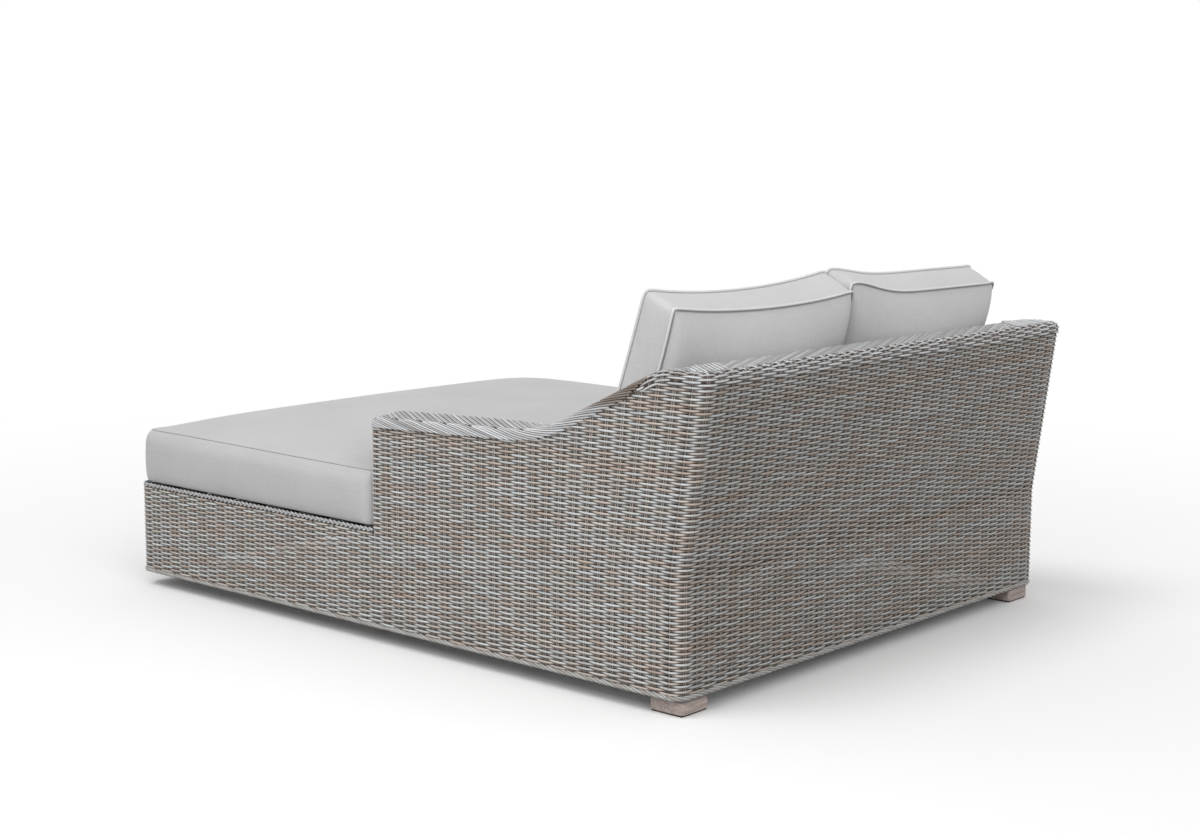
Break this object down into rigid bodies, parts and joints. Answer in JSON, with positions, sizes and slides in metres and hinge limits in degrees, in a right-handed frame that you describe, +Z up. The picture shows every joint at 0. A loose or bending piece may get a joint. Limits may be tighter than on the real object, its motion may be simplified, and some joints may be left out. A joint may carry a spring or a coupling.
{
  "type": "wicker sunbed",
  "caption": "Double woven sunbed with low arms that sweep up in an ogee into a high leaning back, a T-shaped mattress and loose back cushions on square feet.",
  "frame": {"origin": "on the floor, under the middle of the whole sunbed's box", "axes": "+Z up, +Y towards the high back, +X to the left of someone sitting against the back"},
  "size_m": [1.628, 2.097, 0.967],
  "materials": {
    "frame_aluminium": "powder-coated warm grey",
    "zinc_steel": "zinc plated",
    "foot_block": "weathered grey-pink block",
    "glide_plastic": "moulded",
    "resin_weave": "half-round resin strands in mixed grey, blue-grey and beige",
    "resin_braid": "plaited pale resin strands",
    "cushion_fabric": "light grey outdoor linen-look weave"
  },
  "bodies": {
    "frame": {"lower_rail_left": "frame_aluminium", "lower_rail_right": "frame_aluminium", "lower_rail_head": "frame_aluminium", "lower_rail_foot": "frame_aluminium", "upper_rail_left": "frame_aluminium", "upper_rail_right": "frame_aluminium", "upper_rail_head": "frame_aluminium", "upper_rail_foot": "frame_aluminium", "base_posts": "frame_aluminium", "cross_rail": "frame_aluminium", "centre_beam": "frame_aluminium", "centre_posts": "frame_aluminium", "arm_sills": "frame_aluminium", "back_sill": "frame_aluminium", "seat_slats": "frame_aluminium", "arm_rail_outer_left": "frame_aluminium", "arm_rail_outer_right": "frame_aluminium", "arm_rail_inner_left": "frame_aluminium", "arm_rail_inner_right": "frame_aluminium", "arm_posts_left": "frame_aluminium", "arm_posts_right": "frame_aluminium", "arm_ties": "frame_aluminium", "back_top_rail": "frame_aluminium", "back_inner_rail": "frame_aluminium", "back_posts": "frame_aluminium", "back_ties": "frame_aluminium", "foot_plates": "frame_aluminium", "foot_nuts": "zinc_steel", "foot_screws": "zinc_steel", "feet": "foot_block", "foot_glides": "glide_plastic", "side_weave_left": "resin_weave", "side_weave_right": "resin_weave", "back_base_weave": "resin_weave", "back_weave": "resin_weave", "foot_end_weave": "resin_weave", "arm_inner_weave_left": "resin_weave", "arm_inner_weave_right": "resin_weave", "back_inner_weave": "resin_weave", "arm_front_weave_left": "resin_weave", "arm_front_weave_right": "resin_weave", "arm_cap_left": "resin_braid", "arm_cap_right": "resin_braid", "back_cap": "resin_braid", "ledge_braid": "resin_braid", "hem_braid": "resin_braid"},
    "mattress": {"mattress": "cushion_fabric"},
    "left_back_cushion": {"back_cushion_left": "cushion_fabric"},
    "right_back_cushion": {"back_cushion_right": "cushion_fabric"}
  },
  "joints": [
    {"name": "mattress_lift", "type": "slide", "parent": "frame", "child": "mattress", "axis": [0, 0, 1], "range_m": [0, 0.55]},
    {"name": "left_cushion_lift", "type": "slide", "parent": "mattress", "child": "left_back_cushion", "axis": [0, 0, 1], "range_m": [0, 0.4]},
    {"name": "right_cushion_lift", "type": "slide", "parent": "mattress", "child": "right_back_cushion", "axis": [0, 0, 1], "range_m": [0, 0.4]}
  ]
}
